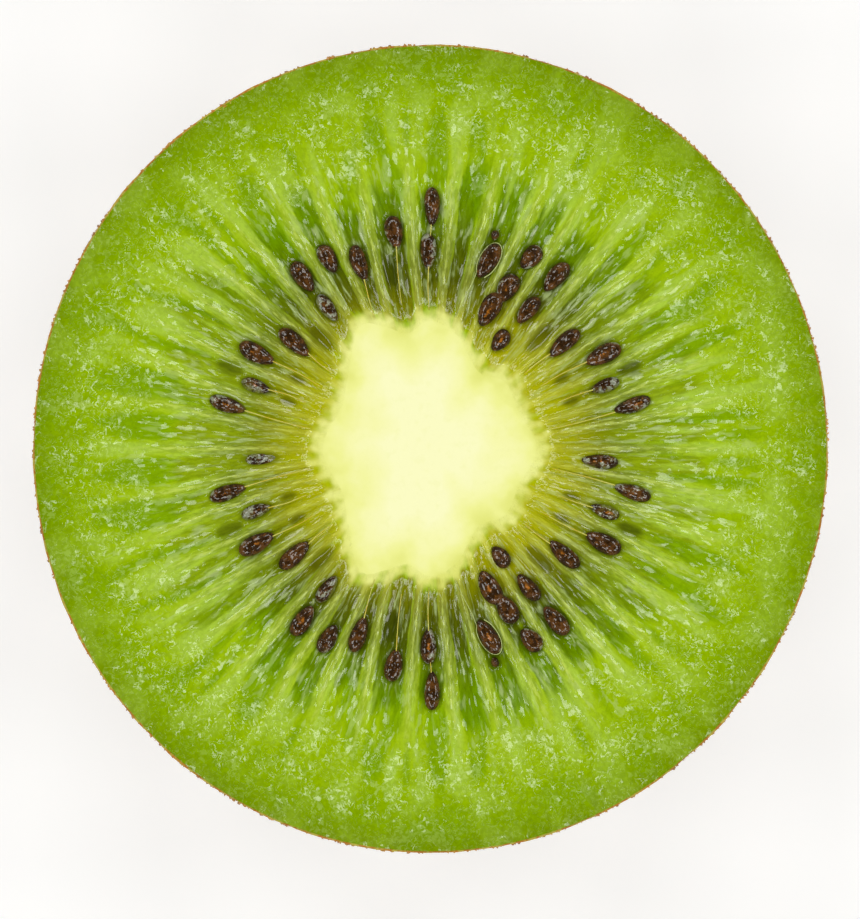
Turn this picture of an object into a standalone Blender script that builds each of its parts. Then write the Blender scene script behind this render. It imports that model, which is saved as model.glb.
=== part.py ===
"""Kiwi fruit half, cut straight across its middle and standing on its stem end.

Two solids: the flesh, with its skin outside and its seeds in the cut, and the
pale core that runs down the middle of it. +Z is up, X and Y lie across the cut,
and the origin is the middle of the small flat that the fruit rests on.
Lengths are in metres and angles in degrees, unless a name says otherwise.
"""

import math

import bmesh
import bpy

MM = 0.001

# Outer form
RIM_X = 25.75 * MM  # half the width of the cut
RIM_Y = 26.2 * MM  # half the depth of the cut
CUT_Z = 31.0 * MM  # height of the cut above the rest flat
REST_RADIUS = 5.5 * MM
DOME_POWER = 2.25  # 2 would be an ellipsoid, and more has fuller shoulders
DOME_RINGS = 9
SWELL = 0.22 * MM  # how uneven the skin is, at most
RIM_ROUND = 0.3 * MM  # rounding of the skin where the knife left it

# Core
CORE_DEPTH = 24.0 * MM
CORE_TIP_SHARE = 0.3  # width of the core's lower end, as a share of its top
CORE_CROWN = 0.15 * MM
CORE_COLUMNS = 60
CORE_CLEARANCE = 0.3 * MM
# Rings of the core and of its socket, as shares of the core's depth
CORE_SHARES = (0.15, 0.45, 0.75, 0.93, 1)
# Edge of the core at the cut, for the upper half: angle, and distance in millimetres
CORE_EDGE = (
    (0, 7.4),
    (22, 6.7),
    (42, 7.0),
    (56, 6.4),
    (66, 6.9),
    (78, 8.2),
    (91, 8.8),
    (101, 8.15),
    (110, 8.9),
    (119, 9.7),
    (130, 8.5),
    (141, 7.5),
    (155, 6.9),
    (180, 7.5),
)

# Seed chambers: the angles of the pale walls between them, for the upper half
CHAMBER_WALLS_RIGHT = (0, 8.5, 16, 25, 33.5, 41.3, 49, 59, 68, 77, 85.2)
CHAMBER_WALLS_LEFT = (94.8, 106, 114, 122, 131, 139, 146.5, 155.2, 164, 171.5, 180)
CHAMBER_WALLS = CHAMBER_WALLS_RIGHT + CHAMBER_WALLS_LEFT
COLUMNS_PER_CHAMBER = 3
CHAMBER_DEPTH = 0.35 * MM
CHAMBER_START = 1.3 * MM  # from the core's edge to where a chamber is full depth
CHAMBER_FULL = 15.5 * MM
CHAMBER_END = 19.0 * MM
# Rings of the cut, as shares of the way from the core to the skin
CUT_SHARES = (0.035, 0.09, 0.17, 0.26, 0.35, 0.44, 0.53, 0.62, 0.74, 0.88)

# Seeds of the upper half: angle, then distance from the middle, length and width in
# millimetres, lean away from the radius, and how far each stands out, from 0 to 1
SEEDS = (
    (12.1, 13.40, 2.45, 1.02, 6, 0.7),
    (19.8, 12.00, 2.10, 1.00, 0, 0.3),
    (28.6, 12.75, 2.50, 1.25, -3, 1.0),
    (38.4, 11.05, 2.50, 1.12, 3, 1.0),
    (57.0, 8.35, 1.60, 1.10, -3, 0.9),
    (54.9, 11.00, 2.10, 1.10, -5, 1.0),
    (53.9, 13.80, 2.30, 1.20, -5, 1.0),
    (67.0, 9.80, 2.40, 1.35, -6, 1.0),
    (64.5, 11.55, 2.00, 1.35, -6, 0.8),
    (62.2, 14.00, 1.80, 1.25, -14, 0.8),
    (72.8, 12.75, 2.50, 1.20, -13, 1.0),
    (73.2, 14.45, 0.65, 0.55, 0, 0.8),
    (90.6, 12.80, 2.30, 1.10, 0, 0.6),
    (89.6, 15.70, 2.50, 1.05, 1, 1.0),
    (99.6, 14.25, 2.10, 1.20, 1, 0.9),
    (111.1, 12.90, 2.40, 1.10, -2, 0.9),
    (118.3, 14.00, 2.00, 1.15, 2, 0.8),
    (126.6, 13.90, 2.25, 1.20, -2, 1.0),
    (126.3, 11.30, 2.10, 1.00, 0, 0.4),
    (141.9, 11.20, 2.50, 1.15, -4, 1.0),
    (151.4, 12.85, 2.50, 1.22, 0, 1.0),
    (160.3, 12.00, 2.10, 1.00, 0, 0.3),
    (167.8, 13.45, 2.45, 1.05, -6, 0.7),
)
# Seeds that only the lower half has, written as they would mirror into the upper half
LOWER_SEEDS = (
    (4.4, 11.00, 2.40, 1.00, 0, 0.6),
    (176.7, 11.00, 2.40, 1.00, 0, 0.4),
)
SEED_HEIGHT = 0.95 * MM
SEED_SUNK = -0.42 * MM  # height of the middle of a seed that hardly stands out
SEED_PROUD = 0.02 * MM  # and of one that stands out fully
SEED_TAPER = 0.28  # how much narrower the end towards the core is
SEED_SEGMENTS = 6
SEED_RINGS = 5


def material(name, color, roughness):
    """A plain finish in the fruit's own colour."""
    made = bpy.data.materials.new(name)
    made.use_nodes = True
    shader = made.node_tree.nodes["Principled BSDF"]
    shader.inputs["Base Color"].default_value = (*color, 1)
    shader.inputs["Roughness"].default_value = roughness
    shader.inputs["Metallic"].default_value = 0
    return made


def folded(angle):
    """The angle in degrees, with the lower half of the fruit folded onto the upper."""
    return abs((math.degrees(angle) + 180) % 360 - 180)


def smooth(low, high, value):
    """0 below low, 1 above high, and an even curve between them."""
    share = min(1, max(0, (value - low) / (high - low)))
    return share * share * (3 - 2 * share)


def core_edge(angle):
    """Distance of the core's edge at the cut, on a smooth curve through CORE_EDGE."""
    # The curve goes on past both ends as its own mirror image.
    first, last = CORE_EDGE[1], CORE_EDGE[-2]
    points = ((-first[0], first[1]), *CORE_EDGE, (360 - last[0], last[1]))
    here = folded(angle)
    k = next(i for i in range(1, len(points) - 1) if here <= points[i + 1][0])
    (a0, r0), (a1, r1), (a2, r2), (a3, r3) = points[k - 1 : k + 3]
    span = a2 - a1
    slope_in = (r2 - r0) / (a2 - a0) * span
    slope_out = (r3 - r1) / (a3 - a1) * span
    t = (here - a1) / span
    blend = t * t * (3 - 2 * t)
    curve = r1 + (r2 - r1) * blend
    curve += slope_in * t * (1 - t) ** 2 - slope_out * t * t * (1 - t)
    return curve * MM


def core_radius(angle, depth):
    """The core narrows and grows rounder on its way down to the stem."""
    share = min(1, depth / CORE_DEPTH)
    top = core_edge(angle)
    round_top = CORE_EDGE[0][1] * MM
    width = CORE_TIP_SHARE + (1 - CORE_TIP_SHARE) * math.sqrt(1 - share * share)
    return (top + (round_top - top) * share) * width


def rim_radius(angle):
    """Distance from the middle of the cut to the outside of the skin."""
    return 1 / math.hypot(math.cos(angle) / RIM_X, math.sin(angle) / RIM_Y)


def dome_share(depth):
    """Width of the fruit at a depth below the cut, as a share of its width there."""
    rest_share = REST_RADIUS / RIM_X
    full_depth = CUT_Z / (1 - rest_share**2) ** (1 / DOME_POWER)
    return math.sqrt(1 - (depth / full_depth) ** DOME_POWER)


def swell(angle, depth):
    """Low bumps of the skin, none at the cut or at the rest flat."""
    share = depth / CUT_Z
    waves = math.sin(3 * angle + 7 * share) + math.sin(5 * angle - 4 * share + 1)
    return SWELL / 2 * waves * math.sin(math.pi * share)


def chamber_relief(angle, radius):
    """Height of the cut: level on the pale walls, and sunk in the chambers between."""
    here = folded(angle)
    pairs = zip(CHAMBER_WALLS, CHAMBER_WALLS[1:])
    low, high = next(pair for pair in pairs if here <= pair[1])
    across = math.sin(math.pi * (here - low) / (high - low))
    start = core_edge(angle)
    along = smooth(start, start + CHAMBER_START, radius)
    along *= 1 - smooth(CHAMBER_FULL, CHAMBER_END, radius)
    return -CHAMBER_DEPTH * across * along


def column_angles():
    """Angles of the flesh's columns of faces, a few for each chamber, all the way round."""
    upper = []
    for low, high in zip(CHAMBER_WALLS, CHAMBER_WALLS[1:]):
        step = (high - low) / COLUMNS_PER_CHAMBER
        upper += [low + step * k for k in range(COLUMNS_PER_CHAMBER)]
    lower = [360 - angle for angle in reversed([*upper[1:], 180])]
    return [math.radians(angle) for angle in upper + lower]


def first_ring(bm, angles, place):
    """An open ring of edges, with one corner at each angle."""
    corners = bmesh.ops.create_circle(bm, segments=len(angles), radius=1)["verts"]
    for corner, angle in zip(corners, angles):
        corner.co = place(angle)
    return list({edge for corner in corners for edge in corner.link_edges})


def next_ring(bm, ring, place):
    """Extrudes an open ring of edges, and puts each new corner where place says."""
    made = bmesh.ops.extrude_edge_only(bm, edges=ring)["geom"]
    corners = {item for item in made if isinstance(item, bmesh.types.BMVert)}
    for corner in corners:
        corner.co = place(math.atan2(corner.co.y, corner.co.x))
    edges = (item for item in made if isinstance(item, bmesh.types.BMEdge))
    return [edge for edge in edges if set(edge.verts) <= corners]


def at(angle, radius, height):
    return (radius * math.cos(angle), radius * math.sin(angle), height)


def solid_of_rings(name, angles, places, materials, material_after=None):
    """A closed solid through rings of corners, with a flat cap at both ends.

    The faces that follow ring number material_after get the second material.
    """
    bm = bmesh.new()
    ring = first_ring(bm, angles, places[0])
    bmesh.ops.contextual_create(bm, geom=ring)
    for number, place in enumerate(places[1:], start=1):
        before = set(bm.faces)
        ring = next_ring(bm, ring, place)
        if material_after is not None and number > material_after:
            for face in set(bm.faces) - before:
                face.material_index = 1
    cap = bmesh.ops.contextual_create(bm, geom=ring)["faces"]
    for face in cap:
        face.material_index = 0 if material_after is None else 1
    bmesh.ops.recalc_face_normals(bm, faces=bm.faces)
    mesh = bpy.data.meshes.new(name)
    bm.to_mesh(mesh)
    bm.free()
    for finish in materials:
        mesh.materials.append(finish)
    mesh.shade_smooth()
    mesh.set_sharp_from_angle(angle=math.radians(40))
    obj = bpy.data.objects.new(name, mesh)
    bpy.context.scene.collection.objects.link(obj)
    return obj


def core_places():
    """Rings of the core, from the middle of its crown down to its lower end."""
    places = []
    for share in (0.5, 0.93):
        height = CUT_Z + CORE_CROWN * (1 - share**4)
        places.append(lambda a, s=share, z=height: at(a, s * core_edge(a), z))
    places.append(lambda a: at(a, core_edge(a), CUT_Z))
    for share in CORE_SHARES:
        depth = share * CORE_DEPTH
        places.append(lambda a, d=depth: at(a, core_radius(a, d), CUT_Z - d))
    return places


def socket_places():
    """Rings of the hollow that holds the core, from its floor up to the cut."""
    places = []
    for share in reversed(CORE_SHARES):
        depth = share * CORE_DEPTH
        floor = CORE_CLEARANCE if share == 1 else 0
        places.append(
            lambda a, d=depth, f=floor: at(
                a, core_radius(a, d) + CORE_CLEARANCE, CUT_Z - d - f
            )
        )
    places.append(lambda a: at(a, core_edge(a) + CORE_CLEARANCE, CUT_Z))
    return places


def cut_places():
    """Rings of the cut, from the core out to the skin."""
    places = []
    for share in CUT_SHARES:

        def place(angle, share=share):
            inner = core_edge(angle) + CORE_CLEARANCE
            radius = inner + share * (rim_radius(angle) - inner)
            return at(angle, radius, CUT_Z + chamber_relief(angle, radius))

        places.append(place)
    places.append(lambda a: at(a, rim_radius(a) - RIM_ROUND, CUT_Z))
    return places


def skin_places():
    """Rings of the outside, from the rounded rim down to the rest flat."""
    places = []
    for k in range(DOME_RINGS + 1):
        turn = math.radians(90) * k / DOME_RINGS
        depth = RIM_ROUND + (CUT_Z - RIM_ROUND) * math.sin(turn)

        def place(angle, depth=depth):
            radius = rim_radius(angle) * dome_share(depth) + swell(angle, depth)
            return at(angle, radius, CUT_Z - depth)

        places.append(place)
    places[-1] = lambda a: at(a, REST_RADIUS, 0)
    return places


def seed(name, angle, distance, length, width, lean, proud, finish):
    """One flat, pointed seed lying in the cut, with its narrow end towards the core."""
    bm = bmesh.new()
    bmesh.ops.create_uvsphere(
        bm, u_segments=SEED_SEGMENTS, v_segments=SEED_RINGS, radius=1
    )
    for corner in bm.verts:
        across, up, along = corner.co
        narrow = 1 + SEED_TAPER * (along - 1) / 2
        corner.co = (
            along * length / 2,
            across * narrow * width / 2,
            up * narrow * SEED_HEIGHT / 2,
        )
    bmesh.ops.recalc_face_normals(bm, faces=bm.faces)
    mesh = bpy.data.meshes.new(name)
    bm.to_mesh(mesh)
    bm.free()
    mesh.materials.append(finish)
    obj = bpy.data.objects.new(name, mesh)
    height = CUT_Z + SEED_SUNK + proud * (SEED_PROUD - SEED_SUNK)
    obj.location = at(angle, distance, height)
    obj.rotation_euler = (0, 0, angle + math.radians(lean))
    return obj


def seed_collection(finish):
    """Every seed of the cut: the upper half's, their mirror images, and two more."""
    group = bpy.data.collections.new("seeds")
    bpy.context.scene.collection.children.link(group)
    rows = [(1, row) for row in SEEDS]
    rows += [(-1, row) for row in SEEDS + LOWER_SEEDS]
    for number, (side, row) in enumerate(rows):
        angle, distance, length, width, lean, proud = row
        made = seed(
            f"seed_{number:02d}",
            side * math.radians(angle),
            distance * MM,
            length * MM,
            width * MM,
            side * lean,
            proud,
            finish,
        )
        group.objects.link(made)
    return group


def fuse(obj, group):
    """Joins every object of the group to obj by one Boolean union, and removes them."""
    union = obj.modifiers.new("seeds", "BOOLEAN")
    union.operation = "UNION"
    union.operand_type = "COLLECTION"
    union.collection = group
    union.solver = "EXACT"
    union.material_mode = "TRANSFER"
    graph = bpy.context.evaluated_depsgraph_get()
    joined = bpy.data.meshes.new_from_object(obj.evaluated_get(graph))
    obj.modifiers.clear()
    obj.data = joined
    joined.name = obj.name
    for helper in list(group.objects):
        bpy.data.objects.remove(helper)
    bpy.data.collections.remove(group)


def main():
    for obj in list(bpy.data.objects):
        bpy.data.objects.remove(obj)

    pulp = material("pulp", (0.30, 0.47, 0.03), 0.35)
    peel = material("peel", (0.27, 0.16, 0.07), 0.85)
    pith = material("pith", (0.93, 0.93, 0.53), 0.45)
    seed_coat = material("seed_coat", (0.030, 0.014, 0.008), 0.3)

    cut_rings = socket_places() + cut_places()
    flesh = solid_of_rings(
        "flesh",
        column_angles(),
        cut_rings + skin_places(),
        (pulp, peel),
        material_after=len(cut_rings) - 1,
    )
    core_angles = [math.tau * k / CORE_COLUMNS for k in range(CORE_COLUMNS)]
    solid_of_rings("core", core_angles, core_places(), (pith,))
    fuse(flesh, seed_collection(seed_coat))


main()
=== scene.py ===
import math
import random

import bmesh
import bpy
import numpy as np
from mathutils import Matrix, Vector
from mathutils import noise as perlin


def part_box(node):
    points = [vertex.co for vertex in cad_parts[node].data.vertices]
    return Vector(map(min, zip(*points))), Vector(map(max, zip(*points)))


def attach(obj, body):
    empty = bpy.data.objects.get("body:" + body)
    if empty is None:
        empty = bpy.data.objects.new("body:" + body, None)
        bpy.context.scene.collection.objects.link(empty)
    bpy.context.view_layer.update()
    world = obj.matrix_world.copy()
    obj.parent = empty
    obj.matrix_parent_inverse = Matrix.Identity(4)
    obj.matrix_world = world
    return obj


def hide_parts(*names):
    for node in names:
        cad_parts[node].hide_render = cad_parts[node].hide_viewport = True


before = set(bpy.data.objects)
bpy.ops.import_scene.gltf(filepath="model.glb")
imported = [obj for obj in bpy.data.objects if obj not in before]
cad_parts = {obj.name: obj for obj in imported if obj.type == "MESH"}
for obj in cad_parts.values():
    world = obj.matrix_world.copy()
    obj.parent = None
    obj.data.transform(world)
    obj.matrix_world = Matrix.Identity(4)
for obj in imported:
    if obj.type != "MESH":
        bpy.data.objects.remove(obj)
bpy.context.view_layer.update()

mm = 0.001
metre = 1000  # in millimetres

# What the whole fruit shares. Lengths are in millimetres, angles in degrees.
fruit = {
    "cutHeight": 31.0,
    "restRadius": 5.5,
    "domePower": 2.25,  # 2 is an ellipsoid, and more has fuller shoulders
    "swell": 0.22,  # how uneven the skin is, at most
    "skinThickness": 0.2,
    "coreDepth": 24.0,
    "coreTipShare": 0.3,
    "jointInset": 0.55,  # the pulp starts this far inside the core's edge
    "cutWave": 0.05,  # how far the cut is from level
    "cutWaveSize": 4.0,
}
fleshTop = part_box("flesh")[1]
rimX = fleshTop.x / mm
rimY = fleshTop.y / mm

# Edge of the core at the cut, for the upper half: angle and distance
coreEdgePoints = (
    (0, 7.4), (22, 6.7), (42, 7.0), (56, 6.4), (66, 6.9), (78, 8.2), (91, 8.8),
    (101, 8.15), (110, 8.9), (119, 9.7), (130, 8.5), (141, 7.5), (155, 6.9), (180, 7.5),
)

# Pale walls between the seed chambers, for the upper half: the angle at wallRadius from
# the middle, and how many degrees it leans for each millimetre further out
wallRadius = 14
chamberWalls = (
    (0, 0), (8.5, 0.25), (16, 0.4), (25, 0.2), (33.5, -0.1), (41.3, 0), (49, 0.1),
    (59, -0.15), (68, -0.35), (77, -0.2), (85.2, -0.1), (94.8, 0), (106, -0.3),
    (114, -0.1), (122, 0), (131, 0), (139, 0.2), (146.5, 0.2), (155.2, 0),
    (164, -0.35), (171.5, -0.25), (180, 0),
)

# Seeds of the upper half: angle, distance, length, width, lean, and how far each
# stands out of the cut, from 0 to 1
upperSeeds = (
    (12.1, 13.40, 2.45, 1.02, 6, 0.6),
    (19.8, 12.00, 2.10, 1.00, 0, 0.3),
    (28.6, 12.75, 2.50, 1.25, -3, 1.0),
    (38.4, 11.05, 2.50, 1.12, 3, 1.0),
    (57.0, 8.35, 1.60, 1.10, -3, 0.9),
    (54.9, 11.00, 2.10, 1.10, -5, 1.0),
    (53.9, 13.80, 2.30, 1.20, -5, 1.0),
    (67.0, 9.80, 2.40, 1.35, -6, 1.0),
    (64.5, 11.55, 2.00, 1.35, -6, 0.8),
    (62.2, 14.00, 1.80, 1.25, -14, 0.8),
    (72.8, 12.75, 2.50, 1.20, -13, 1.0),
    (73.2, 14.45, 0.65, 0.55, 0, 0.8),
    (90.6, 12.80, 2.30, 1.10, 0, 0.6),
    (89.6, 15.70, 2.50, 1.05, 1, 1.0),
    (99.6, 14.25, 2.10, 1.20, 1, 0.9),
    (111.1, 12.90, 2.40, 1.10, -2, 0.9),
    (118.3, 14.00, 2.00, 1.15, 2, 0.8),
    (126.6, 13.90, 2.25, 1.20, -2, 1.0),
    (126.3, 11.30, 2.10, 1.00, 0, 0.4),
    (141.9, 11.20, 2.50, 1.15, -4, 1.0),
    (151.4, 12.85, 2.50, 1.22, 0, 1.0),
    (160.3, 12.00, 2.10, 1.00, 0, 0.3),
    (167.8, 13.45, 2.45, 1.05, -6, 0.6),
)
# Two that only the lower half has, as they would mirror into the upper half
lowerSeeds = (
    (4.4, 11.00, 2.40, 1.00, 0, 0.45),
    (176.7, 11.00, 2.40, 1.00, 0, 0.15),
)
# Those with a pale rim of tissue round them, by angle, and how clear it is
ringedSeeds = {53.9: 0.6, 72.8: 1.0, 126.6: 0.6, 99.6: 0.4, 28.6: 0.3}
# Seeds wholly under the cut, and small holes whose shade is painted dark: angle, distance, length,
# width, darkness
sunkSeedsAndHoles = (
    (22, 13.9, 1.7, 0.7, 0.75),
    (45.5, 10.0, 2.2, 0.9, 0.6),
    (102.5, 11.8, 2.0, 0.9, 0.55),
    (134.8, 10.0, 1.9, 0.9, 0.6),
    (158, 14.0, 1.8, 0.8, 0.6),
    (18.5, 9.6, 1.0, 0.4, 0.7),
    (28, 9.6, 1.0, 0.4, 0.7),
    (152.3, 9.7, 1.0, 0.4, 0.7),
    (161.5, 9.7, 1.0, 0.4, 0.7),
)


def smoothStep(low, high, value):
    share = np.clip((value - low) / (high - low), 0, 1)
    return share * share * (3 - 2 * share)


def foldedDegrees(angle):
    # The lower half of the fruit mirrors the upper
    return np.abs((np.degrees(angle) + 180) % 360 - 180)


def coreEdge(angle):
    # A smooth closed curve through coreEdgePoints, in millimetres
    first, last = coreEdgePoints[1], coreEdgePoints[-2]
    points = ((-first[0], first[1]), *coreEdgePoints, (360 - last[0], last[1]))
    places, values = np.array(points).T
    here = foldedDegrees(angle)
    k = np.clip(np.searchsorted(places, here, side="left") - 1, 1, len(points) - 3)
    span = places[k + 1] - places[k]
    slopeIn = (values[k + 1] - values[k - 1]) / (places[k + 1] - places[k - 1]) * span
    slopeOut = (values[k + 2] - values[k]) / (places[k + 2] - places[k]) * span
    t = (here - places[k]) / span
    curve = values[k] + (values[k + 1] - values[k]) * t * t * (3 - 2 * t)
    return curve + slopeIn * t * (1 - t) ** 2 - slopeOut * t * t * (1 - t)


def rimRadius(angle):
    return 1 / np.hypot(np.cos(angle) / rimX, np.sin(angle) / rimY)


def domeShare(depth):
    # Width of the fruit below the cut, as a share of its width at the cut
    restShare = fruit["restRadius"] / rimX
    fullDepth = fruit["cutHeight"] / (1 - restShare**2) ** (1 / fruit["domePower"])
    return np.sqrt(np.maximum(0, 1 - (depth / fullDepth) ** fruit["domePower"]))


def skinRadius(angle, depth):
    share = depth / fruit["cutHeight"]
    waves = np.sin(3 * angle + 7 * share) + np.sin(5 * angle - 4 * share + 1)
    swell = fruit["swell"] / 2 * waves * np.sin(math.pi * share)
    return rimRadius(angle) * domeShare(depth) + swell


def coreRadius(angle, depth):
    share = np.clip(depth / fruit["coreDepth"], 0, 1)
    top = coreEdge(angle)
    tipShare = fruit["coreTipShare"]
    width = tipShare + (1 - tipShare) * np.sqrt(1 - share * share)
    return (top + (coreEdgePoints[0][1] - top) * share) * width


def noiseAt(points, size, offset=0.0):
    # Perlin noise, -1 to 1, with features about size millimetres across
    return np.array([perlin.noise(point) for point in (points / size + offset).tolist()])


def unevenness(points, size, offset):
    # Noise of two sizes, evened out to a spread of 1 around 0
    values = noiseAt(points, size, offset) + 0.5 * noiseAt(points, size / 2, offset + 3)
    return (values - values.mean()) / values.std()


def cutWaves(flat):
    return fruit["cutWave"] * noiseAt(flat, fruit["cutWaveSize"], 9)


def bell(gap, width):
    # 1 where the gap is 0, and next to nothing past twice the width
    return np.exp(-((gap / width) ** 2))


def lathe(name, profile, columns):
    # Turns a profile once round the fruit's middle. Its places are rough, because each
    # piece sets its own afterwards, from what a point keeps as attributes: the part that
    # it belongs to, and its share of the way along that part.
    form = bmesh.new()
    partLayer = form.verts.layers.float.new("part")
    shareLayer = form.verts.layers.float.new("share")
    points = []
    for radius, height, part, share in profile:
        point = form.verts.new((radius * mm, 0, height * mm))
        point[partLayer] = part
        point[shareLayer] = share
        points.append(point)
    edges = [form.edges.new(pair) for pair in zip(points, points[1:])]
    # One narrow wedge is spun, and then copied round, which is far quicker
    upright = {"cent": (0, 0, 0), "axis": (0, 0, 1), "dvec": (0, 0, 0)}
    wedges = 30
    weldGap = 1e-6
    wedgeAngle = math.tau / wedges
    bmesh.ops.spin(
        form, geom=points + edges, angle=wedgeAngle, steps=columns // wedges,
        use_merge=False, use_duplicate=False, **upright,
    )
    bmesh.ops.spin(
        form, geom=form.verts[:] + form.edges[:] + form.faces[:],
        angle=wedgeAngle * (wedges - 1), steps=wedges - 1,
        use_merge=False, use_duplicate=True, **upright,
    )
    bmesh.ops.remove_doubles(form, verts=form.verts, dist=weldGap)
    bmesh.ops.recalc_face_normals(form, faces=form.faces)
    return finishPiece(name, form)


def finishPiece(name, form):
    mesh = bpy.data.meshes.new(name)
    form.to_mesh(mesh)
    form.free()
    piece = bpy.data.objects.new(name, mesh)
    bpy.context.scene.collection.objects.link(piece)
    return piece


def readPoints(piece):
    # Each point's angle, whether it lies on the axis, its part and its share
    mesh = piece.data
    places = np.empty(len(mesh.vertices) * 3)
    mesh.vertices.foreach_get("co", places)
    x, y = places.reshape(-1, 3).T[:2] / mm
    part, share = np.empty(len(x)), np.empty(len(x))
    mesh.attributes["part"].data.foreach_get("value", part)
    mesh.attributes["share"].data.foreach_get("value", share)
    axisWidth = 1e-4
    return np.arctan2(y, x), np.hypot(x, y) < axisWidth, part, share


def writePoints(piece, angle, radius, height):
    places = np.column_stack([radius * np.cos(angle), radius * np.sin(angle), height])
    piece.data.vertices.foreach_set("co", (places * mm).ravel())
    piece.data.update()


def writeMask(piece, name, values):
    mask = piece.data.attributes.new(name, "FLOAT", "POINT")
    mask.data.foreach_set("value", np.asarray(values, np.float32))


def shadeSmooth(piece, sharpAngle=180):
    piece.data.shade_smooth()
    if sharpAngle < 180:
        piece.data.set_sharp_from_angle(angle=math.radians(sharpAngle))


# What the materials are made with


def linear(colour):
    # A colour as read off the photograph, 0 to 255, made scene linear
    parts = [part / 255 for part in colour]
    return (*(p / 12.92 if p <= 0.04045 else ((p + 0.055) / 1.055) ** 2.4 for p in parts), 1)


def setInputs(node, values):
    for name, value in values.items():
        node.inputs[name].default_value = value


def newFinish(name, gloss):
    finish = bpy.data.materials.new(name)
    finish.use_nodes = True
    shader = finish.node_tree.nodes["Principled BSDF"]
    setInputs(shader, gloss)
    return finish, finish.node_tree, shader


def feed(tree, socket, value):
    # A socket takes another node's output, a number, or a colour off the photograph
    if isinstance(value, bpy.types.NodeSocket):
        tree.links.new(value, socket)
    elif socket.type == "RGBA" and len(value) == 3:
        socket.default_value = linear(value)
    else:
        socket.default_value = value


def calc(tree, operation, *values):
    node = tree.nodes.new("ShaderNodeMath")
    node.operation = operation
    for socket, value in zip(node.inputs, values):
        feed(tree, socket, value)
    return node.outputs[0]


def times(tree, first, second):
    return calc(tree, "MULTIPLY", first, second)


def mixed(tree, share, first, second):
    # A value between two others
    node = tree.nodes.new("ShaderNodeMix")
    feed(tree, node.inputs[0], share)
    feed(tree, node.inputs[2], first)
    feed(tree, node.inputs[3], second)
    return node.outputs[0]


def vectorCalc(tree, operation, first, second=None):
    node = tree.nodes.new("ShaderNodeVectorMath")
    node.operation = operation
    feed(tree, node.inputs[0], first)
    if operation == "SCALE":
        feed(tree, node.inputs["Scale"], second)
    elif second is not None:
        feed(tree, node.inputs[1], second)
    return node.outputs["Value" if operation in ("LENGTH", "DOT_PRODUCT") else "Vector"]


def blend(tree, amount, first, second, kind="MIX"):
    node = tree.nodes.new("ShaderNodeMix")
    node.data_type = "RGBA"
    node.blend_type = kind
    feed(tree, node.inputs[0], amount)
    feed(tree, node.inputs[6], first)
    feed(tree, node.inputs[7], second)
    return node.outputs[2]


def span(tree, value, low, high, toLow=0.0, toHigh=1.0):
    # An even step from toLow, below low, to toHigh, above high
    node = tree.nodes.new("ShaderNodeMapRange")
    node.interpolation_type = "SMOOTHSTEP"
    feed(tree, node.inputs["Value"], value)
    setInputs(node, {"From Min": low, "From Max": high, "To Min": toLow, "To Max": toHigh})
    return node.outputs["Result"]


def colourAlong(tree, value, stops):
    # The colour at a value, from pairs of a value and a colour
    low, high = stops[0][0], stops[-1][0]
    share = tree.nodes.new("ShaderNodeMapRange")
    feed(tree, share.inputs["Value"], value)
    setInputs(share, {"From Min": low, "From Max": high})
    node = tree.nodes.new("ShaderNodeValToRGB")
    elements = node.color_ramp.elements
    elements.remove(elements[-1])
    elements[0].position = 0
    elements[0].color = linear(stops[0][1])
    for place, colour in stops[1:]:
        elements.new((place - low) / (high - low)).color = linear(colour)
    feed(tree, node.inputs[0], share.outputs["Result"])
    return node.outputs[0]


def noiseNode(tree, place, size, isFlat, **settings):
    # Features are about size millimetres across. On the cut, a flat noise is quicker.
    node = tree.nodes.new("ShaderNodeTexNoise")
    node.noise_dimensions = "2D" if isFlat else "3D"
    feed(tree, node.inputs["Vector"], place)
    setInputs(node, {"Scale": 1 / (size * mm), **settings})
    return node


def cellNode(tree, place, size, isFlat=False):
    node = tree.nodes.new("ShaderNodeTexVoronoi")
    node.voronoi_dimensions = "2D" if isFlat else "3D"
    feed(tree, node.inputs["Vector"], place)
    setInputs(node, {"Scale": 1 / (size * mm)})
    return node


def speckle(tree, place, size, detail=2.0, roughness=0.5, distortion=0.0, isFlat=False):
    settings = {"Detail": detail, "Roughness": roughness, "Distortion": distortion}
    return noiseNode(tree, place, size, isFlat, **settings).outputs[0]


def relief(tree, height, depth):
    # Bump whose full height is depth millimetres
    node = tree.nodes.new("ShaderNodeBump")
    setInputs(node, {"Strength": 1.0, "Distance": depth * mm})
    feed(tree, node.inputs["Height"], height)
    return node.outputs[0]


def objectPlace(tree):
    return tree.nodes.new("ShaderNodeTexCoord").outputs["Object"]


def maskValue(tree, name):
    node = tree.nodes.new("ShaderNodeAttribute")
    node.attribute_name = name
    return node.outputs["Fac"]


def shaded(tree, colour, brightness):
    # The colour made lighter or darker, around 1
    grey = tree.nodes.new("ShaderNodeCombineColor")
    for socket in grey.inputs:
        tree.links.new(brightness, socket)
    return blend(tree, 1.0, colour, grey.outputs[0], "MULTIPLY")


def flatPlace(tree, place):
    return vectorCalc(tree, "MULTIPLY", place, (1, 1, 0))


def partsOf(tree, vector):
    # The three numbers of a place or a colour
    apart = tree.nodes.new("ShaderNodeSeparateXYZ")
    feed(tree, apart.inputs[0], vector)
    return apart.outputs


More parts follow.
